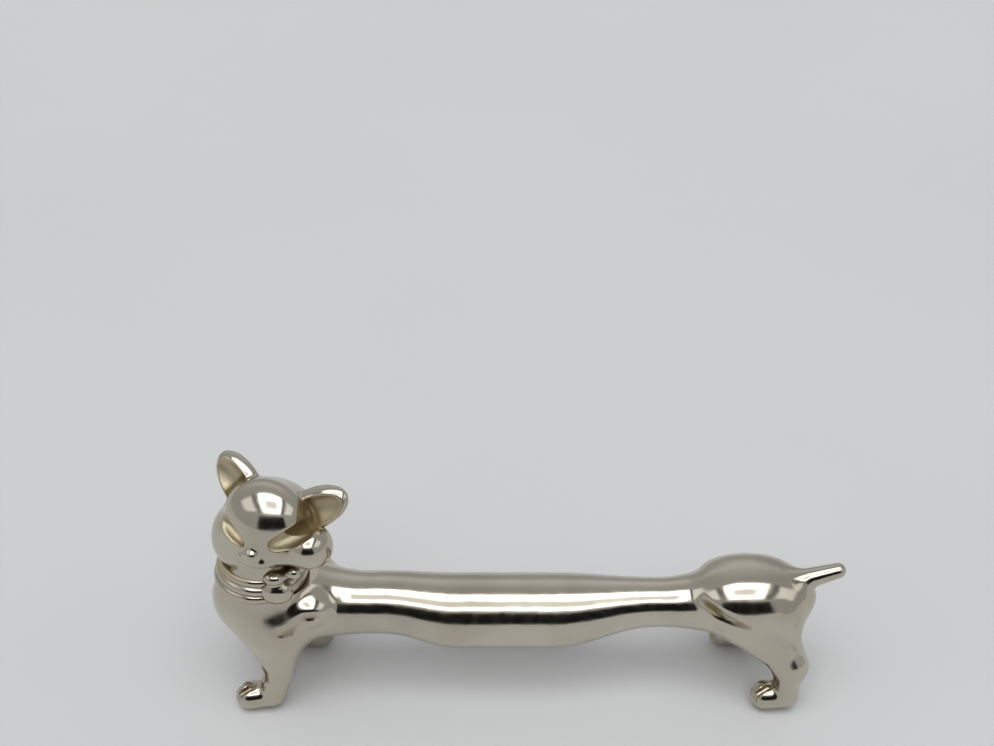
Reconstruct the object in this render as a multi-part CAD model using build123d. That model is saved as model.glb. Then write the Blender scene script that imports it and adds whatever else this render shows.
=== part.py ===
from build123d import *
import os

# Knife rest: a plated metal cat whose long round body carries the cutlery.
# Millimetres, +Z up, standing on z = 0, +X from the head to the tail, the face turned to -Y.

# Fits between soldered pieces
solder_gap = 0.05               # radial gap round every tenon, peg and dowel
blind_end_gap = 0.3             # free depth behind every tenon, peg and dowel

# Bar, the body of the cat: stations along it, measured from the joints at its ends
front_joint_x = -21.5           # plane where the bar meets the forequarter
bar_length = 40.0               # between the two joint planes
joint_height = 12.5             # bar axis above the table at the joints
front_end_radius = 3.85
front_waist_from_joint = 4.5
front_waist_radius = 3.75
front_waist_drop = 0.15         # how far the axis hangs below the joints
belly_from_joint = 14.5
belly_run = 9.0
belly_radius = 4.5
belly_drop = 1.5
rear_waist_from_joint = 3.0
rear_waist_radius = 3.0
rear_waist_drop = 0.2
rear_end_radius = 2.95
front_tenon_radius = 2.3
rear_tenon_radius = 1.7
tenon_length = 4.5

# Chest and shoulders, measured forward from the front joint
chest_from_joint = 9.1
chest_half_length = 6.9
chest_radius = 5.75
chest_height = 13.6
trunk_from_joint = 3.6          # station where the bar's line swells towards the withers
trunk_height = 12.75
trunk_radius = 4.3
withers_from_joint = 7.5
withers_height = 13.2
withers_radius = 5.2
shoulder_from_joint = 5.2
shoulder_spread = 2.75
shoulder_height = 14.4
shoulder_half_length = 4.5
shoulder_radius = 2.7

# Neck, ribbon and dowel
neck_from_joint = 9.7
neck_base_radius = 5.3
neck_base_height = 14.0
neck_seat_radius = 4.8
neck_seat_height = 17.6         # flat on which the ribbon sits
ribbon_height = 3.4
ribbon_low_radius = 5.2
ribbon_high_radius = 4.6
ribbon_folds = 3
ribbon_fold_depth = 0.45
dowel_radius = 1.0
dowel_engagement = 3.0          # depth in the chest and in the head

# Bow, in a frame on the ribbon: x along its flat, -y outwards, z up from the ribbon's middle
bow_turn = 20.0                 # degrees from -Y towards the tail
bow_seat_distance = 4.5         # flat on the ribbon, from the neck axis
bow_shift = 1.0                 # bow centre along the flat
bow_knot_shift = -0.45
bow_knot_out = 1.0
bow_knot_half_length = 1.9
bow_knot_radius = 1.5
bow_left_spread = 0.6
bow_left_out = 0.75
bow_left_rise = 1.9
bow_left_half_length = 1.4
bow_left_radius = 0.85
bow_left_tilt = -12.0           # degrees, inner end raised
bow_right_spread = 1.6
bow_right_out = 0.95
bow_right_rise = 1.75
bow_right_half_length = 1.4
bow_right_radius = 0.85
bow_right_tilt = -50.0          # degrees, outer end raised
bow_peg_radius = 0.6
bow_peg_length = 1.6

# Head, in its own frame: x to its side, -y along its gaze, z up
head_from_joint = 7.7
head_side = -2.0                # head centre beside the bar axis
head_above_seat = 5.8           # head centre above the top of the ribbon
head_yaw = 21.0                 # degrees, gaze turned from -Y towards -X
head_pitch = 20.0               # degrees, gaze lifted
head_roll = 4.0                 # degrees
skull_half_width = 5.5
skull_radius = 4.85
skull_shift = -0.2              # to the side
skull_rise = 1.05
jaw_half_width = 5.8
jaw_radius = 3.1
jaw_shift = 0.25
jaw_reach = 0.9
jaw_drop = 1.1
full_cheek_half_height = 4.1    # cheek on the side that the head turns to
full_cheek_radius = 3.4
full_cheek_spread = 3.4
full_cheek_reach = 0.2
full_cheek_drop = 2.0
round_cheek_half_width = 3.0    # cheek on the other side
round_cheek_radius = 2.8
round_cheek_spread = 4.8
round_cheek_reach = 0.3
round_cheek_drop = 0.7
nose_half_length = 2.3          # ridge from between the eyes to the muzzle
nose_radius = 1.15
nose_shift = 0.1
nose_reach = 3.7
nose_drop = 0.9
nose_lean = 22.0                # degrees, lower end forward
nape_low_radius = 4.4
nape_high_radius = 3.0
nape_rise = 0.8                 # upper end of the nape above the head centre
nape_back = 0.8                 # upper end of the nape behind the head centre
eye_slant = 31.0                # degrees, outer corner raised
full_eye_spread = 3.2           # eye hollow over the full cheek
full_eye_reach = 3.6
full_eye_drop = 0.4
full_eye_half_length = 2.4
full_eye_radius = 0.95
full_eye_wrap = 17.0            # degrees, outer corner turned back
round_eye_spread = 3.3          # eye hollow over the round cheek
round_eye_reach = 3.5
round_eye_drop = 0.1
round_eye_half_length = 2.7
round_eye_radius = 1.1
round_eye_wrap = 40.0
ear_spread = 4.6
ear_back = 0.6
ear_rise = 3.5
ear_splay = 52.0                # degrees outwards
ear_lean = 11.0                 # degrees backwards
ear_root_depth = 1.5
ear_root_radii = (2.35, 1.2)
ear_bulge_height = 1.8
ear_bulge_radii = (2.15, 1.0)
ear_tip_height = 4.1
ear_tip_radii = (0.75, 0.55)
ear_scoop_half_length = 3.5
ear_scoop_radius = 1.9
ear_scoop_reach = 1.9           # scoop centre ahead of the leaf's middle

# Forelegs: the far one stands further back
foreleg_from_joint = 8.1        # near ankle
far_foreleg_step = 5.0
foreleg_spread = 4.8            # centre of each forefoot beside the bar axis
arm_from_joint = 8.4            # upper end, inside the chest
far_arm_step = 1.75
arm_spread = 2.2
arm_height = 13.4
arm_radii = (3.9, 3.0)
elbow_height = 9.0
elbow_radii = (2.75, 2.4)
ankle_height = 5.6
ankle_radius = 1.75
fore_heel_offset = 1.1          # foot end ahead of the ankle
fore_paw_reach = 2.4            # paw centre ahead of the ankle
fore_paw_half_length = 3.2

# Hind legs: the far one stands further forward
hock_from_joint = 12.9          # near hock
far_hindleg_step = 3.9
hindleg_spread = 5.1            # centre of each hind foot beside the bar axis
thigh_from_joint = 9.1          # upper end, inside the rump
far_thigh_step = 1.55
thigh_spread = 1.6
thigh_height = 13.6
thigh_radii = (4.3, 3.0)
stifle_height = 10.2
stifle_radii = (3.3, 2.6)
hock_height = 7.2
hock_radius = 1.95
shank_height = 3.2
shank_radius = 1.75
hind_heel_offset = 0.3          # foot end ahead of the hock
hind_paw_reach = 1.45           # paw centre ahead of the hock
hind_paw_half_length = 2.9

# Rump, measured back from the rear joint
rump_from_joint = 7.9
rump_half_length = 8.0
rump_radius = 4.85
rump_height = 13.6
hip_from_joint = 7.8
hip_spread = 1.85
hip_height = 13.35
hip_half_length = 4.9
hip_radius = 3.5
flank_from_joint = 2.75         # station where the bar's line swells towards the loins
flank_height = 12.55
flank_radius = 3.5
loin_from_joint = 5.5
loin_height = 12.8
loin_radius = 4.3

# Paws
paw_radius = 1.85
paw_centre_height = 1.5
leg_end_radius = 1.4            # lower end of each leg, inside the paw

# Tail
tail_from_joint = 12.6          # seat of the tail in the rump
tail_height = 15.6
tail_rise = 21.0                # degrees
tail_root_radius = 1.45
tail_root_length = 1.8          # straight part that sits in the rump
tail_length = 6.45
tail_tip_radius = 0.7
tail_tip_dome = 0.35
tail_peg_radius = 0.8
tail_peg_length = 2.2

rear_joint_x = front_joint_x + bar_length
neck_x = front_joint_x - neck_from_joint
ribbon_top = neck_seat_height + ribbon_height
ribbon_middle = neck_seat_height + ribbon_height / 2
socket_depth = tenon_length + blind_end_gap
dowel_depth = dowel_engagement + blind_end_gap
bow_peg_depth = bow_peg_length + blind_end_gap
tail_peg_depth = tail_peg_length + blind_end_gap
ample = 4 * bar_length          # side of the blocks that cut a piece off at a plane
quarter_bend = 0.5523           # handle length that makes a cubic curve a quarter of an ellipse


def spindle(half_length, radius):
    """Ellipsoid of revolution about the X axis, turned from two quarter curves."""
    tip_bend = quarter_bend * radius
    crown_bend = quarter_bend * half_length
    outline = [
        Bezier((-half_length, 0), (-half_length, tip_bend), (-crown_bend, radius), (0, radius)),
        Bezier((0, radius), (crown_bend, radius), (half_length, tip_bend), (half_length, 0)),
        Line((half_length, 0), (-half_length, 0)),
    ]
    return revolve(make_face(outline), Axis.X)


def rod(radius, length):
    """Cylinder from the origin along +Z."""
    return Cylinder(radius, length, align=(Align.CENTER, Align.CENTER, Align.MIN))


def taper(low_radius, high_radius, length):
    """Cone frustum from the origin along +Z."""
    return Cone(low_radius, high_radius, length, align=(Align.CENTER, Align.CENTER, Align.MIN))


def upper_block():
    """Block that fills the space above z = 0."""
    return Box(ample, ample, ample, align=(Align.CENTER, Align.CENTER, Align.MIN))


def lower_block():
    """Block that fills the space below z = 0."""
    return Box(ample, ample, ample, align=(Align.CENTER, Align.CENTER, Align.MAX))


def across(x, height):
    """Plane square to the bar, facing the tail."""
    return Plane(origin=(x, 0, height), x_dir=(0, 1, 0), z_dir=(1, 0, 0))


def oval(x, y, height, radii):
    """Level ellipse with its half length along X and its half width along Y."""
    return Pos(x, y, height) * scale(Circle(1.0), by=(radii[0], radii[1], 1.0))


def make_body_bar():
    """Spindle with a sagging belly, a waist before the rump and a tenon at each end."""
    belly_end = belly_from_joint + belly_run
    rear_waist = bar_length - rear_waist_from_joint
    stations = (
        (0.0, 0.0, front_end_radius),
        (front_waist_from_joint, front_waist_drop, front_waist_radius),
        (belly_from_joint, belly_drop, belly_radius),
        (belly_end, belly_drop, belly_radius),
        (rear_waist, rear_waist_drop, rear_waist_radius),
        (bar_length, 0.0, rear_end_radius),
    )
    rings = []
    for distance, drop, radius in stations:
        rings.append(across(front_joint_x + distance, joint_height - drop) * Circle(radius))
    bar = loft(rings)
    bar += across(front_joint_x - tenon_length, joint_height) * rod(front_tenon_radius, 2 * tenon_length)
    bar += across(rear_joint_x - tenon_length, joint_height) * rod(rear_tenon_radius, 2 * tenon_length)
    return bar


def make_paw(x, y, half_length):
    """Rounded paw with a flat sole."""
    paw = Pos(x, y, paw_centre_height) * spindle(half_length, paw_radius)
    return paw - lower_block()


def make_foreleg(side, foot_step, arm_step):
    """Foreleg from inside the chest to the paw, its foot and upper end set back by their steps."""
    ankle_x = front_joint_x - foreleg_from_joint + foot_step
    arm_x = front_joint_x - arm_from_joint + arm_step
    foot_y = side * foreleg_spread
    arm_y = side * arm_spread
    leg = loft([
        oval(ankle_x - fore_heel_offset, foot_y, paw_centre_height, (leg_end_radius, leg_end_radius)),
        oval(ankle_x, foot_y, ankle_height, (ankle_radius, ankle_radius)),
        oval((arm_x + ankle_x) / 2, (arm_y + foot_y) / 2, elbow_height, elbow_radii),
        oval(arm_x, arm_y, arm_height, arm_radii),
    ])
    return leg + make_paw(ankle_x - fore_paw_reach, foot_y, fore_paw_half_length)


def make_forequarter():
    """Chest, shoulders and forelegs, socketed for the bar and drilled for the dowel."""
    body = Pos(front_joint_x - chest_from_joint, 0, chest_height) * spindle(chest_half_length, chest_radius)
    body += loft([
        across(front_joint_x, joint_height) * Circle(front_end_radius),
        across(front_joint_x - trunk_from_joint, trunk_height) * Circle(trunk_radius),
        across(front_joint_x - withers_from_joint, withers_height) * Circle(withers_radius),
    ])
    neck = taper(neck_base_radius, neck_seat_radius, neck_seat_height - neck_base_height)
    body += Pos(neck_x, 0, neck_base_height) * neck
    shoulder = spindle(shoulder_half_length, shoulder_radius)
    for side in (-1, 1):
        body += Pos(front_joint_x - shoulder_from_joint, side * shoulder_spread, shoulder_height) * shoulder
    body += make_foreleg(-1, 0.0, 0.0)
    body += make_foreleg(1, far_foreleg_step, far_arm_step)
    body -= Pos(0, 0, neck_seat_height) * upper_block()
    socket = rod(front_tenon_radius + solder_gap, socket_depth)
    body -= across(front_joint_x - socket_depth, joint_height) * socket
    body -= Pos(neck_x, 0, neck_seat_height - dowel_depth) * rod(dowel_radius + solder_gap, dowel_depth)
    return body


def make_hindleg(side, foot_step, thigh_step):
    """Hind leg from inside the rump to the paw, its foot and upper end set forward by their steps."""
    hock_x = rear_joint_x + hock_from_joint - foot_step
    thigh_x = rear_joint_x + thigh_from_joint - thigh_step
    foot_y = side * hindleg_spread
    thigh_y = side * thigh_spread
    leg = loft([
        oval(hock_x - hind_heel_offset, foot_y, paw_centre_height, (leg_end_radius, leg_end_radius)),
        oval(hock_x, foot_y, shank_height, (shank_radius, shank_radius)),
        oval(hock_x, foot_y, hock_height, (hock_radius, hock_radius)),
        oval((thigh_x + hock_x) / 2, (thigh_y + foot_y) / 2, stifle_height, stifle_radii),
        oval(thigh_x, thigh_y, thigh_height, thigh_radii),
    ])
    return leg + make_paw(hock_x - hind_paw_reach, foot_y, hind_paw_half_length)


def tail_frame():
    """Frame at the tail's seat, with z along the tail."""
    return Pos(rear_joint_x + tail_from_joint, 0, tail_height) * Rot(0, 90 - tail_rise, 0)


def make_hindquarter():
    """Rump, hips, loins and hind legs, socketed for the bar and the tail."""
    body = Pos(rear_joint_x + rump_from_joint, 0, rump_height) * spindle(rump_half_length, rump_radius)
    body -= across(rear_joint_x, joint_height) * lower_block()
    hip = spindle(hip_half_length, hip_radius)
    for side in (-1, 1):
        body += Pos(rear_joint_x + hip_from_joint, side * hip_spread, hip_height) * hip
    body += loft([
        across(rear_joint_x, joint_height) * Circle(rear_end_radius),
        across(rear_joint_x + flank_from_joint, flank_height) * Circle(flank_radius),
        across(rear_joint_x + loin_from_joint, loin_height) * Circle(loin_radius),
    ])
    body += make_hindleg(-1, 0.0, 0.0)
    body += make_hindleg(1, far_hindleg_step, far_thigh_step)
    body -= across(rear_joint_x, joint_height) * rod(rear_tenon_radius + solder_gap, socket_depth)
    body -= tail_frame() * rod(tail_root_radius + solder_gap, tail_length)
    body -= tail_frame() * Pos(0, 0, -tail_peg_depth) * rod(tail_peg_radius + solder_gap, tail_peg_depth)
    return body


def make_tail():
    """Stub tail with a peg in the rump, a straight root, a taper and a blunt domed tip."""
    tip_height = tail_length + tail_tip_dome
    side = Polyline(
        (0, 0, tip_height),
        (0, 0, -tail_peg_length),
        (tail_peg_radius, 0, -tail_peg_length),
        (tail_peg_radius, 0, 0),
        (tail_root_radius, 0, 0),
        (tail_root_radius, 0, tail_root_length),
        (tail_tip_radius, 0, tail_length),
    )
    dome = TangentArc((0, 0, tip_height), (tail_tip_radius, 0, tail_length), tangent=(1, 0, 0))
    return tail_frame() * revolve(make_face([side, dome]), Axis.Z)


def make_ear():
    """Ear at +X of the head: a leaf that narrows to a blunt tip, scooped out in front."""
    leaf = loft([
        oval(0, 0, -ear_root_depth, ear_root_radii),
        oval(0, 0, ear_bulge_height, ear_bulge_radii),
        oval(0, 0, ear_tip_height, ear_tip_radii),
    ])
    leaf -= Pos(0, -ear_scoop_reach, 0) * Rot(0, 90, 0) * spindle(ear_scoop_half_length, ear_scoop_radius)
    return Pos(ear_spread, ear_back, ear_rise) * Rot(0, ear_splay, 0) * Rot(-ear_lean, 0, 0) * leaf


def make_eye(half_length, radius, wrap):
    """Almond hollow of an eye at +X of the face, slanted up towards the ear, centred at the origin."""
    return Rot(0, 0, wrap) * Rot(0, -eye_slant, 0) * spindle(half_length, radius)


def make_face_forms():
    """Domed skull, jaw, cheeks and the ridge of nose and muzzle."""
    upright = Rot(0, 90, 0)
    face = Pos(skull_shift, 0, skull_rise) * spindle(skull_half_width, skull_radius)
    face += Pos(jaw_shift, -jaw_reach, -jaw_drop) * spindle(jaw_half_width, jaw_radius)
    full_cheek = upright * spindle(full_cheek_half_height, full_cheek_radius)
    face += Pos(-full_cheek_spread, -full_cheek_reach, -full_cheek_drop) * full_cheek
    round_cheek = spindle(round_cheek_half_width, round_cheek_radius)
    face += Pos(round_cheek_spread, -round_cheek_reach, -round_cheek_drop) * round_cheek
    nose = Rot(-nose_lean, 0, 0) * upright * spindle(nose_half_length, nose_radius)
    face += Pos(nose_shift, -nose_reach, -nose_drop) * nose
    return face


def make_head():
    """Turned head with its nape, flat where it sits on the ribbon."""
    ear = make_ear()
    full_eye = mirror(make_eye(full_eye_half_length, full_eye_radius, full_eye_wrap), about=Plane.YZ)
    round_eye = make_eye(round_eye_half_length, round_eye_radius, round_eye_wrap)
    head = make_face_forms()
    head -= Pos(-full_eye_spread, -full_eye_reach, -full_eye_drop) * full_eye
    head -= Pos(round_eye_spread, -round_eye_reach, -round_eye_drop) * round_eye
    head += ear
    head += mirror(ear, about=Plane.YZ)
    head = Rot(0, 0, -head_yaw) * Rot(-head_pitch, 0, 0) * Rot(0, head_roll, 0) * head
    head_x = front_joint_x - head_from_joint
    head_height = ribbon_top + head_above_seat
    head = Pos(head_x, head_side, head_height) * head
    seat = Pos(neck_x, 0, ribbon_top)
    nape_top = Pos(head_x, head_side + nape_back, head_height + nape_rise)
    head += loft([seat * Circle(nape_low_radius), nape_top * Circle(nape_high_radius)])
    head -= seat * lower_block()
    head -= seat * rod(dowel_radius + solder_gap, dowel_depth)
    return head


def bow_frame():
    """Frame in the middle of the bow's seat on the ribbon."""
    return Pos(neck_x, 0, ribbon_middle) * Rot(0, 0, bow_turn) * Pos(bow_shift, -bow_seat_distance, 0)


def make_ribbon():
    """Folded ribbon: a collar with rounded folds, a flat for the bow and a bore for the dowel."""
    pitch = ribbon_height / ribbon_folds
    narrowing = (ribbon_low_radius - ribbon_high_radius) / ribbon_folds
    bore_radius = dowel_radius + solder_gap
    outline = [Polyline(
        (ribbon_high_radius, 0, ribbon_height),
        (bore_radius, 0, ribbon_height),
        (bore_radius, 0, 0),
        (ribbon_low_radius, 0, 0),
    )]
    for fold in range(ribbon_folds):
        low_radius = ribbon_low_radius - fold * narrowing
        high_radius = low_radius - narrowing
        crest_radius = (low_radius + high_radius) / 2 + ribbon_fold_depth
        low_height = fold * pitch
        outline.append(ThreePointArc(
            (low_radius, 0, low_height),
            (crest_radius, 0, low_height + pitch / 2),
            (high_radius, 0, low_height + pitch),
        ))
    ribbon = Pos(neck_x, 0, neck_seat_height) * revolve(make_face(outline), Axis.Z)
    ribbon -= bow_frame() * Rot(-90, 0, 0) * lower_block()
    ribbon -= bow_frame() * Rot(-90, 0, 0) * rod(bow_peg_radius + solder_gap, bow_peg_depth)
    return ribbon


def make_bow():
    """Bow with two loops over a hanging knot, flat behind, with a peg in the ribbon."""
    bow = Pos(bow_knot_shift, -bow_knot_out, 0) * spindle(bow_knot_half_length, bow_knot_radius)
    left_loop = Rot(0, bow_left_tilt, 0) * spindle(bow_left_half_length, bow_left_radius)
    bow += Pos(-bow_left_spread, -bow_left_out, bow_left_rise) * left_loop
    right_loop = Rot(0, bow_right_tilt, 0) * spindle(bow_right_half_length, bow_right_radius)
    bow += Pos(bow_right_spread, -bow_right_out, bow_right_rise) * right_loop
    bow -= Rot(-90, 0, 0) * upper_block()
    bow += Rot(-90, 0, 0) * rod(bow_peg_radius, bow_peg_length)
    return bow_frame() * bow


def make_dowel():
    """Pin through the ribbon, in the chest and in the head."""
    dowel_length = ribbon_height + 2 * dowel_engagement
    return Pos(neck_x, 0, neck_seat_height - dowel_engagement) * rod(dowel_radius, dowel_length)


parts = {
    "body_bar": make_body_bar(),
    "forequarter_casting": make_forequarter(),
    "hindquarter_casting": make_hindquarter(),
    "head_casting": make_head(),
    "neck_ribbon": make_ribbon(),
    "ribbon_bow": make_bow(),
    "tail": make_tail(),
    "head_dowel": make_dowel(),
}
os.makedirs("parts", exist_ok=True)
for name, solid in parts.items():
    export_step(solid, f"parts/{name}.step")
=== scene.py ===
import math

import bmesh
import bpy
import numpy as np
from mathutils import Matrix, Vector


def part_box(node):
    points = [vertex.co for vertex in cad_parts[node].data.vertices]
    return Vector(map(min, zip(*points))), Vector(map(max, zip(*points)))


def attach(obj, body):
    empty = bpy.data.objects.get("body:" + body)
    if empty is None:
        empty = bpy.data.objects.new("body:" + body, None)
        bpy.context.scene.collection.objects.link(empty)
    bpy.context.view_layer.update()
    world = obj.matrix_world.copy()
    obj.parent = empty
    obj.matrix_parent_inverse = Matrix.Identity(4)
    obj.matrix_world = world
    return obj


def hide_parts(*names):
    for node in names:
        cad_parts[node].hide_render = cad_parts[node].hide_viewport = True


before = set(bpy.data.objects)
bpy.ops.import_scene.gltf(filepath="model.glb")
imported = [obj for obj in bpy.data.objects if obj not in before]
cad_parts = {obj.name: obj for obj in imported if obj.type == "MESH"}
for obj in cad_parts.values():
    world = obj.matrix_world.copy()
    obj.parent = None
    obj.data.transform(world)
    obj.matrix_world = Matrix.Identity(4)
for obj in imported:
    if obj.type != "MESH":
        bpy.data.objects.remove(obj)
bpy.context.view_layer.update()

import openvdb

# Looks of a plated metal cat that serves as a knife rest.
# Every shape is a rounded solid written as a distance field in millimetres, in the frame's axes.
MM = 0.001                      # metres in a millimetre
NEAR = -1                       # side of the body that the face is turned to
FAR = 1
SIDES = (NEAR, FAR)


def corners(node):
    """Lowest and highest corner of a CAD node in millimetres."""
    low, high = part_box(node)
    return np.array(low) / MM, np.array(high) / MM


# Seats taken from the frame
front_joint = corners("forequarter_casting")[1][0]
rear_joint = corners("hindquarter_casting")[0][0]
dowel_low, dowel_high = corners("head_dowel")
neck_x, neck_y = (dowel_low + dowel_high)[:2] / 2
ribbon_low = corners("neck_ribbon")[0][2]
ribbon_top = corners("neck_ribbon")[1][2]
ribbon_middle = (ribbon_low + ribbon_top) / 2
tail_end = corners("tail")[1][0]

# Surface sampling
BODY_STEP = 0.22
FINE_STEP = 0.13                # for head, ribbon and bow
MARGIN = 1.0                    # free room round a sampled box
BODY_REACH = 16.0               # sampled length ahead of the front joint
BODY_HALF_WIDTH = 6.6
FITTING_MOVES = 3               # moves of each point towards the true surface
SLOPE_REACH = 0.02              # distance over which a slope is taken
LEAST_SLOPE = 1e-6
LEAST_STEEPNESS = 1e-9          # of an ellipsoid, reached at its centre
SEAM = 0.04                     # gap where a piece is let into another
WELD = 0.012                    # points of a cut that lie nearer than this become one
SKIN_CORNERS = 6                # a face with more corners than this is the flat cap of a cut

# Bar
BAR_HEIGHT = 12.4
BAR_FRONT_RADIUS = 3.75
BELLY_RADIUS = 4.5
BAR_REAR_RADIUS = 2.95
BELLY_DROP = 1.4
BELLY_RISE_START = 3.5          # from the front joint
BELLY_RISE_RUN = 10.5
BELLY_FALL_START = 23.5         # from the front joint
BELLY_FALL_RUN = 14.5
BAR_OVERLAP = 1.0               # how far the bar runs on beyond each joint
JOINT_BLEND = 0.4               # fillet at both joints

# Chest, shoulders and neck
CHEST = np.array([front_joint - 9.1, 0.0, 13.6])
CHEST_RADII = (6.8, 5.4, 5.6)
TRUNK_START = np.array([front_joint + 0.5, 0.0, BAR_HEIGHT])
TRUNK_END = np.array([front_joint - 7.5, 0.0, 13.2])
TRUNK_RADII = (BAR_FRONT_RADIUS, 5.2)
TRUNK_BLEND = 2.0
NECK_FOOT = np.array([neck_x, neck_y, 15.0])
NECK_TOP = np.array([neck_x + 0.8, neck_y - 0.6, 23.0])
NECK_RADII = (5.3, 4.3)
NECK_BLEND = 1.5
SHOULDER = np.array([front_joint - 4.3, 3.4, 14.8])
SHOULDER_RADII = (2.7, 2.1, 1.8)
SHOULDER_LEAN = math.radians(30)
SHOULDER_BLEND = 0.9

# Forelegs: y counts outwards, heel and toe are placed from the ankle
LEG_BLEND = 2.0                 # fillet where any leg meets the body
FORE_ANKLE_X = front_joint - 8.1
FORE_ANKLE_HEIGHT = 5.6
FORE_SPREAD = 4.8
FAR_FORE_STEP = 5.0             # the far forefoot stands further back
ARM_X = FORE_ANKLE_X - 0.3
ARM_STEP_SHARE = 0.35           # share of the step that the upper end takes part in
ARM_SPREAD = 3.0
ARM_HEIGHT = 11.6
ARM_RADII = (3.9, 1.75)
FORE_HEEL = np.array([-1.2, 0.0, -3.6])
FORE_SHANK_RADII = (1.7, 1.75)
FORE_SHANK_BLEND = 0.5
FORE_TOE = np.array([-3.9, 0.3, -4.05])
FORE_PAW_DROP = np.array([0.0, 0.0, -0.3])
FORE_PAW_RADII = (1.6, 1.7)
FORE_PAW_BLEND = 0.4

# Hind legs: y counts outwards, heel and toe are placed from the hock
HOCK_X = rear_joint + 12.9
HOCK_HEIGHT = 7.2
HIND_SPREAD = 5.1
FAR_HIND_STEP = -3.9            # the far hind foot stands further forward
THIGH_X = HOCK_X - 3.8
THIGH_STEP_SHARE = 0.4          # share of the step that the upper end takes part in
THIGH_SPREAD = 2.2
THIGH_HEIGHT = 11.4
THIGH_RADII = (4.2, 2.0)
THIGH_FLATNESS = 1.3
HIND_HEEL = np.array([-0.2, 0.0, -5.0])
HIND_SHANK_DROP = np.array([0.0, 0.0, -1.0])
HIND_SHANK_RADIUS = 1.65
HIND_SHANK_BLEND = 1.6
HIND_TOE = np.array([-2.6, 0.05, -5.5])
HIND_PAW_DROP = np.array([0.0, 0.0, -0.5])
HIND_PAW_RADII = (1.6, 1.75)
HIND_PAW_BLEND = 0.5

# Grooves between the toes, from the centre of the toe end
TOE_GROOVE_RADIUS = 0.35
TOE_GROOVE_REACH = 1.85
TOE_GROOVE_TURNS = [(0.3, 0.1, 0.95), (-0.72, 0.5, 0.5), (-0.82, 0.55, -0.15)]
TOE_GROOVE_BLEND = 0.2

# Rump and tail
RUMP = np.array([rear_joint + 7.9, 0.0, 13.6])
RUMP_RADII = (8.0, 4.6, 4.6)
HIP = np.array([rear_joint + 7.5, 2.9, 14.5])
HIP_RADII = (4.8, 1.8, 3.0)
HIP_LEAN = math.radians(-33)
HIP_BLEND = 1.6
LOIN_START = np.array([rear_joint - 0.5, 0.0, 12.5])
LOIN_END = np.array([rear_joint + 5.5, 0.0, 12.8])
LOIN_RADII = (BAR_REAR_RADIUS, 4.2)
FOLD_BLEND = 0.4                # fillet between rump and legs at the flank
FOLD_WIDENING = 2.2             # added to it towards the tail
FOLD_START = RUMP[0] + 1.5
FOLD_RUN = 5.0
TAIL_ROOT = np.array([rear_joint + 13.4, 0.0, 15.9])
TAIL_TIP = np.array([tail_end - 0.95, 0.0, 17.65])
TAIL_RADII = (1.35, 0.9)
TAIL_SEAT = rear_joint + 16.3   # where the tail leaves the rump
TAIL_BLEND = 1.0

# Creases, as paths just over the skin: x from a joint, y outwards
ELBOW_PATH = [
    (-7.4, 6.95, 13.9),
    (-5.9, 6.45, 13.7),
    (-4.4, 5.7, 15.3),
    (-3.1, 5.45, 15.3),
    (-1.9, 5.05, 14.6),
]
ELBOW_CREASE = np.array(ELBOW_PATH) + (front_joint, 0, 0)
FLANK_PATH = [(1.8, 2.9, 15.6), (4.3, 4.85, 14.7), (7.4, 5.65, 13.3)]
FLANK_CREASE = np.array(FLANK_PATH) + (rear_joint, 0, 0)
CREASE_RADIUS = 0.3
CREASE_END_RADIUS = 0.1
CREASE_BLEND = 0.9

# Ribbon: each ring has its shift along the bar, height over the ribbon's middle, radius and thickness
RIBBON_RINGS = [(0.2, 0.95, 4.3, 0.7), (0.1, -0.05, 4.65, 0.7), (0.0, -1.05, 4.9, 0.65)]
RIBBON_SIDE_SHIFT = -0.2
RIBBON_BLEND = 0.1
RIBBON_CORE_RADIUS = 4.6
RIBBON_CORE_HALF_HEIGHT = 1.6
RIBBON_CREST = 5.62             # radius at the foot of the ribbon under which it counts as a groove
RIBBON_TAPER = 0.17             # loss of that radius for each millimetre of height

# Bow, placed from the neck's axis at the top of the ribbon
BOW_SEAT = np.array([neck_x, neck_y, ribbon_top])
LEFT_LOOP = BOW_SEAT + (2.2, -4.9, 0.3)
LEFT_LOOP_RADII = (1.25, 0.85, 0.8)
RIGHT_LOOP = BOW_SEAT + (4.5, -4.2, 0.5)
RIGHT_LOOP_RADII = (0.85, 0.8, 0.85)
LOOP_BLEND = 1.0
KNOT = BOW_SEAT + (2.4, -5.0, -1.8)
KNOT_RADII = (1.9, 1.2, 1.6)
KNOT_BLEND = 0.5

# Head, with its forms in its own frame: x to its side, y along its gaze, z up
HEAD = np.array([neck_x + 2.0, neck_y - 2.0, ribbon_top + 5.8])
HEAD_YAW = math.radians(21)
HEAD_PITCH = math.radians(20)
HEAD_ROLL = math.radians(4)
SKULL = (-0.2, -0.8, 1.5)
SKULL_RADII = (5.3, 4.2, 3.7)
BROW = (-0.3, 1.9, 1.85)
BROW_RADII = (4.3, 2.7, 4.1)
BROW_UP = (0, -0.22, 0.97)
BROW_FORWARD = (0, 1, 0)
BROW_BLEND = 2.0
JAW = (0, 0.2, -1.6)
JAW_RADII = (5.2, 4.0, 2.4)
JAW_BLEND = 1.0
FULL_CHEEK = (-3.4, 0.2, -2.0)
FULL_CHEEK_RADII = (3.3, 3.5, 4.1)
FULL_CHEEK_BLEND = 0.9
ROUND_CHEEK = (5.2, 0.25, -0.7)
ROUND_CHEEK_RADII = (2.6, 2.8, 2.6)
ROUND_CHEEK_BLEND = 1.0
NOSE_ROOT = (0, 3.2, 0.4)
NOSE_END = (0, 3.9, -1.5)
NOSE_RADII = (1.3, 0.8)
NOSE_BLEND = 0.5
NOSE_PAD = (0.1, 4.2, -1.9)
NOSE_PAD_RADII = (0.95, 0.85, 0.8)
NOSE_PAD_BLEND = 0.3
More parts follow.
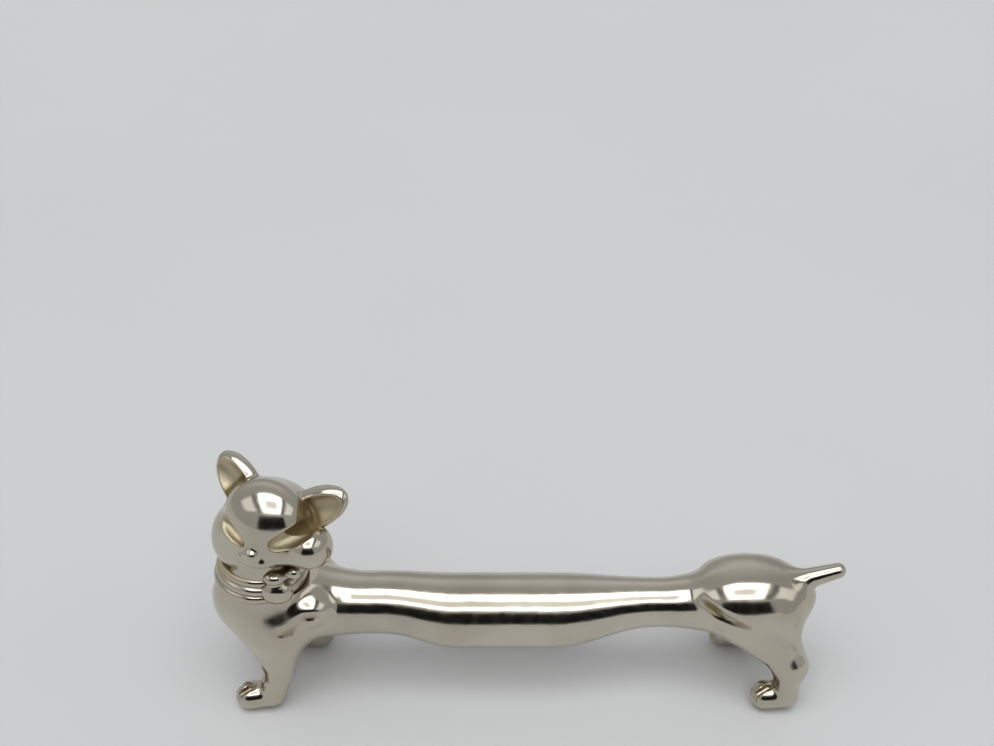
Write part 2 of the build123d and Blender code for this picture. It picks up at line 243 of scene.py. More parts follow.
CHIN = (0, 3.0, -2.8)
CHIN_RADII = (2.2, 1.6, 1.0)
CHIN_BLEND = 0.6
NAPE_BLEND = 0.8                # fillet between head and neck

# Eyes, over the full cheek on the left and the round cheek on the right
LEFT_EYE = (-2.9, 3.9, -0.1)
LEFT_EYE_RADII = (0.9, 1.0, 2.3)
LEFT_EYE_UP = (-0.86, -0.18, 0.43)
LEFT_EYE_FORWARD = (-0.45, 1.0, 0.25)
RIGHT_EYE = (3.9, 2.6, 1.1)
RIGHT_EYE_RADII = (1.2, 1.15, 2.9)
RIGHT_EYE_UP = (0.66, -0.55, 0.52)
RIGHT_EYE_FORWARD = (0.45, 1.0, 0.25)
EYE_BLEND = 0.3

# Ears, the right one given
EAR = np.array([4.6, -0.6, 3.5])
EAR_RADII = (2.35, 1.3, 4.3)
EAR_UP = (0.78, -0.20, 0.60)
EAR_FORWARD = (0.10, 1.0, 0.30)
EAR_BLEND = 0.4
EAR_SCOOP = (5.15, 0.8, 3.5)
EAR_SCOOP_RADII = (1.85, 1.4, 3.8)
EAR_SCOOP_BLEND = 0.3

# Tarnish on the skin, with painted shade along the creases
RECESS_REACHES = (0.4, 0.9, 1.8)
DULL_REACH = 0.35               # how far the dull film spreads round a hollow
CREASE_SHADE_SPREAD = 0.2               # how far the painted shade spreads round a crease
# darkness of the painted shade along the creases
CREASE_PAINTED_SHADE = 0.5
EAR_BROWN = 0.4                 # brown at the height of the ear's centre
EAR_BROWN_RUN = 4.0             # length of ear over which the brown changes from all to none
# share of the ear-root brown and the painted crease shade in the recess value
BROWN_AND_SHADE_WEIGHT = 0.8

# Silver plate: noise is given by scale and detail, ranges by low and high limit
SILVER_BRIGHT = (0.575, 0.535, 0.45, 1.0)
SILVER_DEEP = (0.485, 0.445, 0.36, 1.0)
FILM_COLOUR = (0.52, 0.45, 0.31, 1.0)
# brown of the tarnish in hollows, also laid along the creases as painted shade
STAIN_AND_SHADE_COLOUR = (0.22, 0.16, 0.075, 1.0)
CLOUD_NOISE = (260.0, 4.0)
CLOUD_RANGE = (0.3, 0.7)
UNEVENNESS = 0.16               # how much the clouds move the edge of stain and film
STAIN_AND_SHADE_RANGE = (0.26, 0.72)
STAIN_ROUGHNESS = 0.28
FILM_RANGE = (0.15, 0.75)
FILM_ROUGHNESS = 0.32
TONE_NOISE = (110.0, 2.0)
TONE_RANGE = (0.35, 0.65)
POLISH_NOISE = (900.0, 3.0)
POLISH_RANGE = (0.3, 0.7)
POLISH_ROUGHNESS = (0.10, 0.18)
RIPPLE_NOISE = (330.0, 2.0)
RIPPLE_STRENGTH = 0.38
RIPPLE_DEPTH = 0.0001           # metres

# Brass of the dowel
BRASS_COLOUR = (0.72, 0.55, 0.27, 1.0)
BRASS_LINE_SCALE = 900.0
BRASS_ROUGHNESS = (0.25, 0.42)

# Table top, in metres
FLOOR_HALF_WIDTH = 3.0
FLOOR_HEIGHT = -0.00002
FLOOR_OUTLINE = [(-1, -1), (1, -1), (1, 1), (-1, 1)]
FLOOR_DARK = (0.59, 0.59, 0.585, 1.0)
FLOOR_PALE = (0.63, 0.63, 0.625, 1.0)
FLOOR_NOISE = (14.0, 3.0)
FLOOR_ROUGHNESS = 0.55

# Light tent: edges are given by low limit, high limit and softness, on a roof or wall at distance one
HORIZON = 0.001                 # least height or depth of a direction that is divided by it
PANEL_X = (-0.5, 0.5, 0.05)
PANEL_Y = (-0.05, 1.07, 0.06)
PANEL_LEVEL = 3.2
CENTRE_X = (-0.28, 0.28, 0.05)
CENTRE_Y = (0.31, 0.75, 0.05)
CENTRE_LEVEL = -2.5
STRIP_X = (0.85, 1.9, 0.08)
STRIP_Y = (0.0, 1.0, 0.08)
STRIP_LEVEL = 0.7
GAP_X = (0.55, 0.8, 0.04)
GAP_Y = (-0.05, 1.1, 0.08)
GAP_LEVEL = -0.27
OPENING_X = (-0.62, 0.62, 0.06)
OPENING_Z = (0.03, 0.72, 0.04)
OPENING_DARKNESS = 0.98
WALL_LEVEL = 0.45
BACK_LEVEL = 0.28               # added to the wall's level high up at the back
BACK_Y = (0.3, 0.9)
BACK_Z = (0.3, 0.65)
BACKDROP_LEVEL = 0.6            # level that the camera sees beyond the table
LIGHT_COLOUR = (0.985, 1.0, 1.02, 1.0)

# Camera, in metres
CAMERA_PLACE = (-0.0036, -0.13401, 0.15183)
CAMERA_TILT = math.radians(52)
CAMERA_LENS = 57.95
CAMERA_SENSOR = 36.0
CAMERA_NEAREST = 0.005


def unit(vector):
    """Vector of length one."""
    vector = np.asarray(vector, float)
    return vector / np.linalg.norm(vector)


def axes_from(up, forward):
    """Rows of a frame: side, forward and up, with up kept exact."""
    up = unit(up)
    forward = np.asarray(forward, float)
    forward = unit(forward - (forward @ up) * up)
    return np.array([np.cross(forward, up), forward, up])


def leaning(angle, side):
    """Rows of a frame whose up axis leans outwards on one side of the body."""
    return axes_from((0, side * math.sin(angle), math.cos(angle)), (0, side, 0))


def head_axes():
    """Rows of the head's frame: its side, its gaze and its up direction."""
    side = np.array([math.cos(HEAD_YAW), -math.sin(HEAD_YAW), 0.0])
    gaze = np.array([
        -math.sin(HEAD_YAW) * math.cos(HEAD_PITCH),
        -math.cos(HEAD_YAW) * math.cos(HEAD_PITCH),
        math.sin(HEAD_PITCH),
    ])
    up = np.cross(gaze, side)
    rolled_side = math.cos(HEAD_ROLL) * side - math.sin(HEAD_ROLL) * up
    rolled_up = math.cos(HEAD_ROLL) * up + math.sin(HEAD_ROLL) * side
    return np.array([rolled_side, gaze, rolled_up])


HEAD_AXES = head_axes()
BROW_AXES = axes_from(BROW_UP, BROW_FORWARD)
EAR_AXES = axes_from(EAR_UP, EAR_FORWARD)
LEFT_EYE_AXES = axes_from(LEFT_EYE_UP, LEFT_EYE_FORWARD)
RIGHT_EYE_AXES = axes_from(RIGHT_EYE_UP, RIGHT_EYE_FORWARD)


def on_side(place, side):
    """Place whose y counts outwards, set on one side of the body."""
    return place * np.array([1, side, 1])


def join(a, b, fillet):
    """Union of two fields with a soft fillet."""
    share = np.clip(0.5 + 0.5 * (b - a) / fillet, 0, 1)
    return b + (a - b) * share - fillet * share * (1 - share)


def carve(a, b, fillet):
    """First field with the second cut out of it, the edge rounded."""
    return -join(-a, b, fillet)


def ellipsoid(points, centre, radii, axes=None):
    """Field of an ellipsoid, its half axes along the rows of a frame."""
    local = points - np.asarray(centre)
    if axes is not None:
        local = local @ axes.T
    radii = np.asarray(radii, float)
    scaled = np.linalg.norm(local / radii, axis=-1)
    steepness = np.linalg.norm(local / radii ** 2, axis=-1)
    return scaled * (scaled - 1) / np.maximum(steepness, LEAST_STEEPNESS)


def limb(points, start, end, start_radius, end_radius):
    """Field of a tapered rod with round ends."""
    start = np.asarray(start, float)
    axis = np.asarray(end, float) - start
    length = np.linalg.norm(axis)
    axis = axis / length
    local = points - start
    along = local @ axis
    across = np.sqrt(np.maximum((local ** 2).sum(-1) - along ** 2, 0))
    sine = (start_radius - end_radius) / length
    cosine = math.sqrt(1 - sine ** 2)
    foot = np.clip(along - across * sine / cosine, 0, length)
    radius = start_radius + (end_radius - start_radius) * foot / length
    return np.hypot(along - foot, across) - radius


def ring(points, centre, radius, thickness):
    """Field of a level ring."""
    local = points - np.asarray(centre)
    out = np.hypot(local[:, 0], local[:, 1]) - radius
    return np.hypot(out, local[:, 2]) - thickness


def ease(value, start, run):
    """Smooth rise from 0 to 1 with no kink in slope or bend."""
    t = np.clip((value - start) / run, 0, 1)
    return t ** 3 * (t * (6 * t - 15) + 10)


def crease(points, path, side):
    """Field of a thin round cut along a path on one side of the body, narrower at its ends."""
    path = on_side(path, side)
    radii = [CREASE_END_RADIUS] + [CREASE_RADIUS] * (len(path) - 2) + [CREASE_END_RADIUS]
    cuts = [limb(points, *path[i:i + 2], *radii[i:i + 2]) for i in range(len(path) - 1)]
    return np.min(cuts, axis=0)


def toe_grooves(points, toe):
    """Field of the two grooves that part the toes of a paw."""
    cuts = []
    for side in SIDES:
        places = [toe + on_side(TOE_GROOVE_REACH * unit(turn), side) for turn in TOE_GROOVE_TURNS]
        for start, end in zip(places, places[1:]):
            cuts.append(limb(points, start, end, TOE_GROOVE_RADIUS, TOE_GROOVE_RADIUS))
    return np.min(cuts, axis=0)


def bar_field(points):
    """Long body with its sagging belly and thinner rear."""
    x = points[:, 0]
    swell = ease(x, front_joint + BELLY_RISE_START, BELLY_RISE_RUN)
    shrink = ease(x, front_joint + BELLY_FALL_START, BELLY_FALL_RUN)
    radius = BAR_FRONT_RADIUS + (BELLY_RADIUS - BAR_FRONT_RADIUS) * swell
    radius = radius + (BAR_REAR_RADIUS - BELLY_RADIUS) * shrink
    height = BAR_HEIGHT - BELLY_DROP * (swell - shrink)
    tube = np.hypot(points[:, 1], points[:, 2] - height) - radius
    ends = np.maximum(front_joint - BAR_OVERLAP - x, x - rear_joint - BAR_OVERLAP)
    return np.maximum(tube, ends)


def foreleg_field(points, side, step):
    """Foreleg with its paw, the foot moved along the body by a step."""
    ankle = np.array([FORE_ANKLE_X + step, side * FORE_SPREAD, FORE_ANKLE_HEIGHT])
    arm = np.array([ARM_X + ARM_STEP_SHARE * step, side * ARM_SPREAD, ARM_HEIGHT])
    heel = ankle + FORE_HEEL
    toe = ankle + on_side(FORE_TOE, side)
    leg = limb(points, arm, ankle, *ARM_RADII)
    leg = join(leg, limb(points, ankle, heel, *FORE_SHANK_RADII), FORE_SHANK_BLEND)
    leg = join(leg, limb(points, heel + FORE_PAW_DROP, toe, *FORE_PAW_RADII), FORE_PAW_BLEND)
    return carve(leg, toe_grooves(points, toe), TOE_GROOVE_BLEND)


def neck_field(points):
    """Neck, which runs from the chest through the ribbon into the head."""
    return limb(points, NECK_FOOT, NECK_TOP, *NECK_RADII)


def fore_field(points):
    """Chest, shoulders, neck and forelegs, creased at the near elbow."""
    chest = ellipsoid(points, CHEST, CHEST_RADII)
    body = join(chest, limb(points, TRUNK_START, TRUNK_END, *TRUNK_RADII), TRUNK_BLEND)
    body = join(body, neck_field(points), NECK_BLEND)
    body = join(body, foreleg_field(points, NEAR, 0.0), LEG_BLEND)
    body = join(body, foreleg_field(points, FAR, FAR_FORE_STEP), LEG_BLEND)
    for side in SIDES:
        lean = leaning(SHOULDER_LEAN, side)
        shoulder = ellipsoid(points, on_side(SHOULDER, side), SHOULDER_RADII, lean)
        body = join(body, shoulder, SHOULDER_BLEND)
    return carve(body, crease(points, ELBOW_CREASE, NEAR), CREASE_BLEND)


def hindleg_field(points, side, step):
    """Hind leg with its paw, the foot moved along the body by a step."""
    hock = np.array([HOCK_X + step, side * HIND_SPREAD, HOCK_HEIGHT])
    thigh = np.array([THIGH_X + THIGH_STEP_SHARE * step, side * THIGH_SPREAD, THIGH_HEIGHT])
    heel = hock + HIND_HEEL
    toe = hock + on_side(HIND_TOE, side)
    flat = np.array([1, THIGH_FLATNESS, 1])
    leg = limb(points * flat, thigh * flat, hock * flat, *THIGH_RADII) / THIGH_FLATNESS
    shank = limb(points, hock + HIND_SHANK_DROP, heel, HIND_SHANK_RADIUS, HIND_SHANK_RADIUS)
    leg = join(leg, shank, HIND_SHANK_BLEND)
    leg = join(leg, limb(points, heel + HIND_PAW_DROP, toe, *HIND_PAW_RADII), HIND_PAW_BLEND)
    return carve(leg, toe_grooves(points, toe), TOE_GROOVE_BLEND)


def hind_field(points):
    """Rump with its two hips over the hind legs, creased at both flanks."""
    rump = ellipsoid(points, RUMP, RUMP_RADII)
    for side in SIDES:
        hip = ellipsoid(points, on_side(HIP, side), HIP_RADII, leaning(HIP_LEAN, side))
        rump = join(rump, hip, HIP_BLEND)
    loin = limb(points, LOIN_START, LOIN_END, *LOIN_RADII)
    legs = join(hindleg_field(points, NEAR, 0.0), loin, LEG_BLEND)
    legs = join(legs, hindleg_field(points, FAR, FAR_HIND_STEP), LEG_BLEND)
    fold = FOLD_BLEND + FOLD_WIDENING * ease(points[:, 0], FOLD_START, FOLD_RUN)
    body = join(rump, legs, fold)
    for side in SIDES:
        body = carve(body, crease(points, FLANK_CREASE, side), CREASE_BLEND)
    return body


def tail_field(points):
    """Stub tail."""
    return limb(points, TAIL_ROOT, TAIL_TIP, *TAIL_RADII)


def body_field(points):
    """Bar, forequarter, hindquarter and tail as one flowing skin that stands on the table."""
    body = join(bar_field(points), fore_field(points), JOINT_BLEND)
    body = join(body, hind_field(points), JOINT_BLEND)
    body = join(body, tail_field(points), TAIL_BLEND)
    return np.maximum(body, -points[:, 2])


def in_head(points):
    """Points in the head's frame, as they are and with its left half folded on its right."""
    local = (points - HEAD) @ HEAD_AXES.T
    folded = np.column_stack([np.abs(local[:, 0]), local[:, 1:]])
    return local, folded


def eye_hollows(local):
    """Field of the two almond hollows of the eyes."""
    left = ellipsoid(local, LEFT_EYE, LEFT_EYE_RADII, LEFT_EYE_AXES)
    right = ellipsoid(local, RIGHT_EYE, RIGHT_EYE_RADII, RIGHT_EYE_AXES)
    return np.minimum(left, right)


def ear_scoop(folded):
    """Field of the scoop in each ear."""
    return ellipsoid(folded, EAR_SCOOP, EAR_SCOOP_RADII, EAR_AXES)


def face_field(local):
    """Skull, domed brow, jaw, cheeks and nose, with the eyes hollowed out before the nose is set on."""
    face = ellipsoid(local, SKULL, SKULL_RADII)
    face = join(face, ellipsoid(local, BROW, BROW_RADII, BROW_AXES), BROW_BLEND)
    face = join(face, ellipsoid(local, JAW, JAW_RADII), JAW_BLEND)
    face = join(face, ellipsoid(local, FULL_CHEEK, FULL_CHEEK_RADII), FULL_CHEEK_BLEND)
    face = join(face, ellipsoid(local, ROUND_CHEEK, ROUND_CHEEK_RADII), ROUND_CHEEK_BLEND)
    face = carve(face, eye_hollows(local), EYE_BLEND)
    face = join(face, limb(local, NOSE_ROOT, NOSE_END, *NOSE_RADII), NOSE_BLEND)
    face = join(face, ellipsoid(local, NOSE_PAD, NOSE_PAD_RADII), NOSE_PAD_BLEND)
    return join(face, ellipsoid(local, CHIN, CHIN_RADII), CHIN_BLEND)


def head_field(points):
    """Face and scooped ears over a short neck."""
    local, folded = in_head(points)
    ear = ellipsoid(folded, EAR, EAR_RADII, EAR_AXES)
    ear = carve(ear, ear_scoop(folded), EAR_SCOOP_BLEND)
    head = join(face_field(local), ear, EAR_BLEND)
    return join(head, neck_field(points), NAPE_BLEND)


def ribbon_field(points):
    """Ribbon wound round the neck in folds, over a plain core."""
    folds = []
    for shift, rise, radius, thickness in RIBBON_RINGS:
        centre = (neck_x + shift, neck_y + RIBBON_SIDE_SHIFT, ribbon_middle + rise)
        folds.append(ring(points, centre, radius, thickness))
    band = folds[0]
    for fold in folds[1:]:
        band = join(band, fold, RIBBON_BLEND)
    core = np.hypot(points[:, 0] - neck_x, points[:, 1] - neck_y) - RIBBON_CORE_RADIUS
    core = np.maximum(core, np.abs(points[:, 2] - ribbon_middle) - RIBBON_CORE_HALF_HEIGHT)
    return np.minimum(band, core)


def bow_shape(points):
    """Two loops over a hanging knot."""
    left = ellipsoid(points, LEFT_LOOP, LEFT_LOOP_RADII)
    right = ellipsoid(points, RIGHT_LOOP, RIGHT_LOOP_RADII)
    knot = ellipsoid(points, KNOT, KNOT_RADII)
    return join(join(left, right, LOOP_BLEND), knot, KNOT_BLEND)


def bow_field(points):
    """Bow, cut where it lies on the ribbon, the chin and the chest."""
    around = np.min([ribbon_field(points), head_field(points), body_field(points)], axis=0)
    return carve(bow_shape(points), around - SEAM, SEAM)


def everything(points):
    """Field of the whole object."""
    parts = [body_field(points), head_field(points), ribbon_field(points), bow_shape(points)]
    return np.min(parts, axis=0)


def closeness(field):
    """Value that falls from 1 at a field's surface to 0 a short way off."""
    return np.clip(1 - field / DULL_REACH, 0, 1)


def dulled(points):
    """How far each point lies in an eye hollow, an ear or a groove of the ribbon, from 0 to 1."""
    local, folded = in_head(points)
    hollow = closeness(np.minimum(eye_hollows(local), ear_scoop(folded)))
    crest = RIBBON_CREST - RIBBON_TAPER * (points[:, 2] - ribbon_low)
    radius = np.hypot(points[:, 0] - neck_x, points[:, 1] - neck_y)
    groove = np.clip((crest - radius) / DULL_REACH, 0, 1)
    groove[(points[:, 2] < ribbon_low) | (points[:, 2] > ribbon_top)] = 0
    return np.maximum(hollow, groove)


def ear_brown_and_crease_shade(points):
    """How brown each point gets in the root of an ear, and how dark the painted shade along a crease makes
    it, from 0 to 1.
    """
    folded = in_head(points)[1]
    depth = np.clip(EAR_BROWN - (folded - EAR) @ EAR_AXES[2] / EAR_BROWN_RUN, 0, 1)
    brown = depth * closeness(ear_scoop(folded))
    # painted shade: a darker line along the elbow and flank creases
    cuts = [crease(points, ELBOW_CREASE, NEAR)]
    for side in SIDES:
        cuts.append(crease(points, FLANK_CREASE, side))
    return np.maximum(brown, CREASE_PAINTED_SHADE * closeness(np.min(cuts, axis=0) - CREASE_SHADE_SPREAD))


def recess(points, normals):
    """How far each point lies in a hollow of the whole object, from 0 to 1."""
    shade = np.zeros(len(points))
    for reach in RECESS_REACHES:
        shade += np.clip(1 - everything(points + normals * reach) / reach, 0, 1)
    return shade / len(RECESS_REACHES)


def slope(field, points):
    """Direction of a field's steepest rise, and its size."""
    parts = []
    for axis in np.eye(3):
        parts.append(field(points + axis * SLOPE_REACH) - field(points - axis * SLOPE_REACH))
    rise = np.stack(parts, axis=-1) / (2 * SLOPE_REACH)
    size = np.maximum(np.linalg.norm(rise, axis=-1, keepdims=True), LEAST_SLOPE)
    return rise / size, size[:, 0]


def skin(field, low, high, step):
    """Points and quads of a field's zero surface inside a box."""
    lines = [np.arange(a - MARGIN, b + MARGIN, step) for a, b in zip(low, high)]
    y, z = np.meshgrid(lines[1], lines[2], indexing="ij")
    layers = []
    for x in lines[0]:
        layer = np.stack([np.full(y.size, x), y.ravel(), z.ravel()], axis=-1)
        layers.append(field(layer).reshape(y.shape))
    grid = openvdb.FloatGrid()
    grid.copyFromArray(np.array(layers, dtype=np.float32))
    points, quads = grid.convertToQuads()
    points = points.astype(float) * step + [line[0] for line in lines]
    for _ in range(FITTING_MOVES):
        direction, size = slope(field, points)
        points = points - direction * (field(points) / size)[:, None]
    return points, quads[:, ::-1]


def cut_mesh(points, quads, planes):
    """Mesh of a skin, cut flat and closed at each plane given as a point and an outward direction."""
    mesh = bpy.data.meshes.new("skin")
    mesh.from_pydata(points, [], quads)
    work = bmesh.new()
    work.from_mesh(mesh)
    for place, outward in planes:
        geometry = work.verts[:] + work.edges[:] + work.faces[:]
        cut = bmesh.ops.bisect_plane(work, geom=geometry, plane_co=place, plane_no=outward, clear_outer=True)
        rim = [item for item in cut["geom_cut"] if isinstance(item, bmesh.types.BMVert)]
        bmesh.ops.remove_doubles(work, verts=rim, dist=WELD)
        loose = [vertex for vertex in work.verts if not vertex.link_faces]
        bmesh.ops.delete(work, geom=loose, context="VERTS")
        open_edges = [edge for edge in work.edges if edge.is_boundary]
        bmesh.ops.holes_fill(work, edges=open_edges)
    bmesh.ops.recalc_face_normals(work, faces=work.faces)
    work.to_mesh(mesh)
    work.free()
    return mesh


def store_values(mesh, label, values):
    """Value at each point of a mesh, under a label that the material reads."""
    attribute = mesh.attributes.new(label, "FLOAT", "POINT")
    attribute.data.foreach_set("value", values)


def shade_skin(mesh, normals):
    """Smooth shading by a normal at each point, with the caps of cuts kept flat."""
    mesh.shade_smooth()
    owners = np.empty(len(mesh.loops), dtype=int)
    mesh.loops.foreach_get("vertex_index", owners)
    corner_normals = normals[owners]
    for polygon in mesh.polygons:
        if len(polygon.vertices) > SKIN_CORNERS:
            cap = slice(polygon.loop_start, polygon.loop_start + polygon.loop_total)
            corner_normals[cap] = polygon.normal
    mesh.normals_split_custom_set(corner_normals)


def finish_piece(name, node, field, material, mesh):
    """Object for a mesh in millimetres, with its tarnish and painted crease shade, its shading and its place
    in the frame.
    """
    points = np.empty(len(mesh.vertices) * 3)
    mesh.vertices.foreach_get("co", points)
    points = points.reshape(-1, 3)
    normals = slope(field, points)[0]
    # the recess value carries the tarnish and the painted shade along the creases
    store_values(mesh, "recess", recess(points, normals) + BROWN_AND_SHADE_WEIGHT * ear_brown_and_crease_shade(points))
    store_values(mesh, "dull", dulled(points))
    mesh.vertices.foreach_set("co", (points * MM).ravel())
    shade_skin(mesh, normals)
    mesh.materials.append(material)
    piece = bpy.data.objects.new(name, mesh)
    bpy.context.scene.collection.objects.link(piece)
    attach(piece, "root")
    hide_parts(node)


def make_body(material):
    """Forequarter, bar, hindquarter and tail, cut from one skin at their joints."""
    low = np.array([front_joint - BODY_REACH, -BODY_HALF_WIDTH, 0.0])
    high = np.array([tail_end, BODY_HALF_WIDTH, ribbon_low])
    points, quads = skin(body_field, low, high, BODY_STEP)
    front = (front_joint, 0, 0)
    rear = (rear_joint, 0, 0)
    tail_seat = (TAIL_SEAT, 0, 0)
    towards_tail = (1, 0, 0)
    towards_head = (-1, 0, 0)
    ribbon_seat = ((0, 0, ribbon_low), (0, 0, 1))
    cuts = {
        "forequarter": ("forequarter_casting", [(front, towards_tail), ribbon_seat]),
        "body": ("body_bar", [(front, towards_head), (rear, towards_tail)]),
        "hindquarter": ("hindquarter_casting", [(rear, towards_head), (tail_seat, towards_tail)]),
        "tail_stub": ("tail", [(tail_seat, towards_head)]),
    }
    for name, (node, planes) in cuts.items():
        finish_piece(name, node, body_field, material, cut_mesh(points, quads, planes))


def make_piece(name, node, field, material, planes=()):
    """Object made from a field in place of a CAD node, sampled finely in that node's box."""
    points, quads = skin(field, *corners(node), FINE_STEP)
    finish_piece(name, node, field, material, cut_mesh(points, quads, planes))


def add_node(tree, kind, **settings):
    """Shader node with the given settings, its inputs set by name or number."""
    node = tree.nodes.new(kind)
    inputs = settings.pop("inputs", {})
    for key, value in settings.items():
        setattr(node, key, value)
    for key, value in inputs.items():
        if isinstance(value, bpy.types.NodeSocket):
            tree.links.new(value, node.inputs[key])
        else:
            node.inputs[key].default_value = value
    return node


def maths(tree, operation, a, b=0.0):
    """Output of a math node."""
    return add_node(tree, "ShaderNodeMath", operation=operation, inputs={0: a, 1: b}).outputs[0]


def noise(tree, place, scale, detail):
    """Output of a noise texture."""
    node = add_node(tree, "ShaderNodeTexNoise", inputs={"Vector": place, "Scale": scale, "Detail": detail})
    return node.outputs["Fac"]


def ramp(tree, value, low, high, start, end):
    """Output that runs from one level to another while the value passes between two limits."""
    limits = {0: value, 1: low, 2: high, 3: start, 4: end}
    return add_node(tree, "ShaderNodeMapRange", inputs=limits).outputs[0]


def smooth(tree, value, low, high, start=0.0, end=1.0):
    """Like ramp, with an eased start and end."""
    limits = {0: value, 1: low, 2: high, 3: start, 4: end}
    return add_node(tree, "ShaderNodeMapRange", interpolation_type="SMOOTHSTEP", inputs=limits).outputs[0]


def mix(tree, share, first, second):
    """Output of a colour mix."""
    node = add_node(tree, "ShaderNodeMix", data_type="RGBA", inputs={0: share, 6: first, 7: second})
    return node.outputs[2]


def window(tree, value, low, high, soft):
    """Output that is 1 between two limits and falls softly to 0 outside them."""
    rise = smooth(tree, value, low - soft, low + soft)
    fall = smooth(tree, value, high - soft, high + soft, 1.0, 0.0)
    return maths(tree, "MULTIPLY", rise, fall)


def patch(tree, across, across_edges, along, along_edges):
    """Output that is 1 inside a soft-edged rectangle and 0 outside it."""
    return maths(tree, "MULTIPLY", window(tree, across, *across_edges), window(tree, along, *along_edges))


def new_material(name):
    """New material, with its node tree, its shader and its object coordinates."""
    material = bpy.data.materials.new(name)
    material.use_nodes = True
    tree = material.node_tree
    place = add_node(tree, "ShaderNodeTexCoord").outputs["Object"]
    return material, tree, tree.nodes["Principled BSDF"], place


def make_silver():
    """Polished silver plate, warm in tone, dulled and browned where it lies in hollows, with painted shade
    darkening its creases.
    """
    material, tree, shader, place = new_material("silver_plate")
    shader.inputs["Metallic"].default_value = 1.0
    depth = add_node(tree, "ShaderNodeAttribute", attribute_name="recess").outputs["Fac"]
    dull = add_node(tree, "ShaderNodeAttribute", attribute_name="dull").outputs["Fac"]
    uneven = ramp(tree, noise(tree, place, *CLOUD_NOISE), *CLOUD_RANGE, -UNEVENNESS, UNEVENNESS)
    # tarnish in hollows and ear roots, with painted shade along the creases
    stain_and_shade = smooth(tree, maths(tree, "ADD", depth, uneven), *STAIN_AND_SHADE_RANGE)
    film = smooth(tree, maths(tree, "ADD", dull, uneven), *FILM_RANGE)
    tone = ramp(tree, noise(tree, place, *TONE_NOISE), *TONE_RANGE, 0.0, 1.0)
    colour = mix(tree, tone, SILVER_BRIGHT, SILVER_DEEP)
    colour = mix(tree, film, colour, FILM_COLOUR)
    colour = mix(tree, stain_and_shade, colour, STAIN_AND_SHADE_COLOUR)
    tree.links.new(colour, shader.inputs["Base Color"])
    polish = ramp(tree, noise(tree, place, *POLISH_NOISE), *POLISH_RANGE, *POLISH_ROUGHNESS)
    film_rough = maths(tree, "MULTIPLY", film, FILM_ROUGHNESS)
    stain_rough = maths(tree, "MULTIPLY", stain_and_shade, STAIN_ROUGHNESS)
    rough = maths(tree, "ADD", polish, maths(tree, "ADD", film_rough, stain_rough))
    tree.links.new(rough, shader.inputs["Roughness"])
    ripple = noise(tree, place, *RIPPLE_NOISE)
    relief = {"Strength": RIPPLE_STRENGTH, "Distance": RIPPLE_DEPTH, "Height": ripple}
    bump = add_node(tree, "ShaderNodeBump", inputs=relief)
    tree.links.new(bump.outputs[0], shader.inputs["Normal"])
    return material


def make_brass():
    """Turned brass of the hidden dowel."""
    material, tree, shader, place = new_material("dowel_brass")
    shader.inputs["Metallic"].default_value = 1.0
    shader.inputs["Base Color"].default_value = BRASS_COLOUR
    pattern = {"Vector": place, "Scale": BRASS_LINE_SCALE}
    lines = add_node(tree, "ShaderNodeTexWave", bands_direction="Z", inputs=pattern).outputs["Fac"]
    tree.links.new(ramp(tree, lines, 0.0, 1.0, *BRASS_ROUGHNESS), shader.inputs["Roughness"])
    return material


def make_floor():
    """Pale matt table top."""
    mesh = bpy.data.meshes.new("floor")
    outline = [(x * FLOOR_HALF_WIDTH, y * FLOOR_HALF_WIDTH, FLOOR_HEIGHT) for x, y in FLOOR_OUTLINE]
    mesh.from_pydata(outline, [], [(0, 1, 2, 3)])
    floor = bpy.data.objects.new("floor", mesh)
    bpy.context.scene.collection.objects.link(floor)
    material, tree, shader, place = new_material("floor")
    shader.inputs["Roughness"].default_value = FLOOR_ROUGHNESS
    colour = mix(tree, noise(tree, place, *FLOOR_NOISE), FLOOR_DARK, FLOOR_PALE)
    tree.links.new(colour, shader.inputs["Base Color"])
    mesh.materials.append(material)


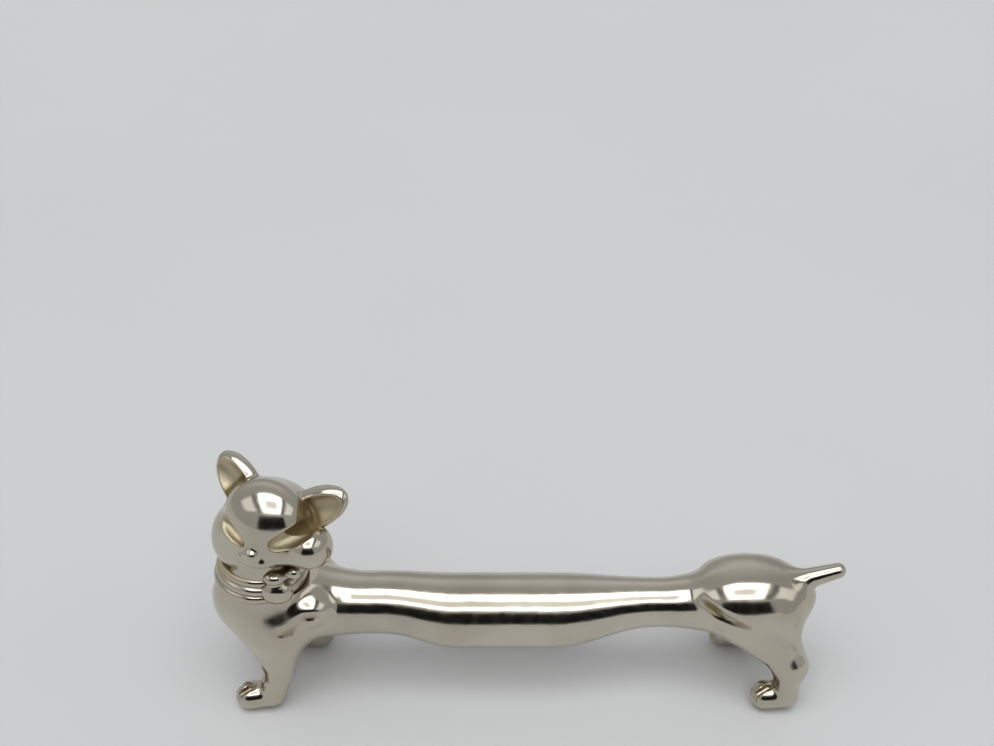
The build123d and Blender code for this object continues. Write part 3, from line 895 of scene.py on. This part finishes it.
def make_light():
    """Light tent: even pale walls, a bright panel frame overhead and a dark opening in front."""
    world = bpy.data.worlds.new("light_tent")
    bpy.context.scene.world = world
    world.use_nodes = True
    tree = world.node_tree
    direction = add_node(tree, "ShaderNodeTexCoord").outputs["Generated"]
    split = add_node(tree, "ShaderNodeSeparateXYZ", inputs={0: direction}).outputs
    x, y, z = split[0], split[1], split[2]
    front = maths(tree, "MULTIPLY", y, -1.0)
    height = maths(tree, "MAXIMUM", z, HORIZON)
    depth = maths(tree, "MAXIMUM", front, HORIZON)
    roof_x = maths(tree, "DIVIDE", x, height)
    roof_y = maths(tree, "DIVIDE", front, height)
    aside = maths(tree, "ABSOLUTE", roof_x)
    wall_x = maths(tree, "DIVIDE", x, depth)
    wall_z = maths(tree, "DIVIDE", z, depth)
    high_back = maths(tree, "MULTIPLY", smooth(tree, y, *BACK_Y, 0.0, BACK_LEVEL), smooth(tree, z, *BACK_Z))
    level = maths(tree, "ADD", high_back, WALL_LEVEL)
    lamps = [
        (patch(tree, roof_x, PANEL_X, roof_y, PANEL_Y), PANEL_LEVEL),
        (patch(tree, roof_x, CENTRE_X, roof_y, CENTRE_Y), CENTRE_LEVEL),
        (patch(tree, aside, STRIP_X, roof_y, STRIP_Y), STRIP_LEVEL),
        (patch(tree, aside, GAP_X, roof_y, GAP_Y), GAP_LEVEL),
    ]
    for lamp, lamp_level in lamps:
        level = maths(tree, "ADD", level, maths(tree, "MULTIPLY", lamp, lamp_level))
    opening = patch(tree, wall_x, OPENING_X, wall_z, OPENING_Z)
    closed = maths(tree, "SUBTRACT", 1.0, maths(tree, "MULTIPLY", opening, OPENING_DARKNESS))
    level = maths(tree, "MULTIPLY", level, closed)
    seen = add_node(tree, "ShaderNodeLightPath").outputs["Is Camera Ray"]
    level = add_node(tree, "ShaderNodeMix", inputs={0: seen, 2: level, 3: BACKDROP_LEVEL}).outputs[0]
    sky = tree.nodes["Background"]
    sky.inputs["Color"].default_value = LIGHT_COLOUR
    tree.links.new(level, sky.inputs["Strength"])


def make_camera():
    """Camera at the photograph's angle."""
    data = bpy.data.cameras.new("camera")
    data.sensor_width = CAMERA_SENSOR
    data.lens = CAMERA_LENS
    data.clip_start = CAMERA_NEAREST
    camera = bpy.data.objects.new("camera", data)
    camera.location = CAMERA_PLACE
    camera.rotation_euler = (CAMERA_TILT, 0, 0)
    bpy.context.scene.collection.objects.link(camera)
    bpy.context.scene.camera = camera


silver = make_silver()
make_body(silver)
make_piece("head", "head_casting", head_field, silver, [((0, 0, ribbon_top), (0, 0, -1))])
make_piece("ribbon", "neck_ribbon", ribbon_field, silver)
make_piece("bow", "ribbon_bow", bow_field, silver)
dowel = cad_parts["head_dowel"]
dowel.data.materials.clear()
dowel.data.materials.append(make_brass())
make_floor()
make_light()
make_camera()
bpy.context.scene.view_settings.view_transform = "Standard"
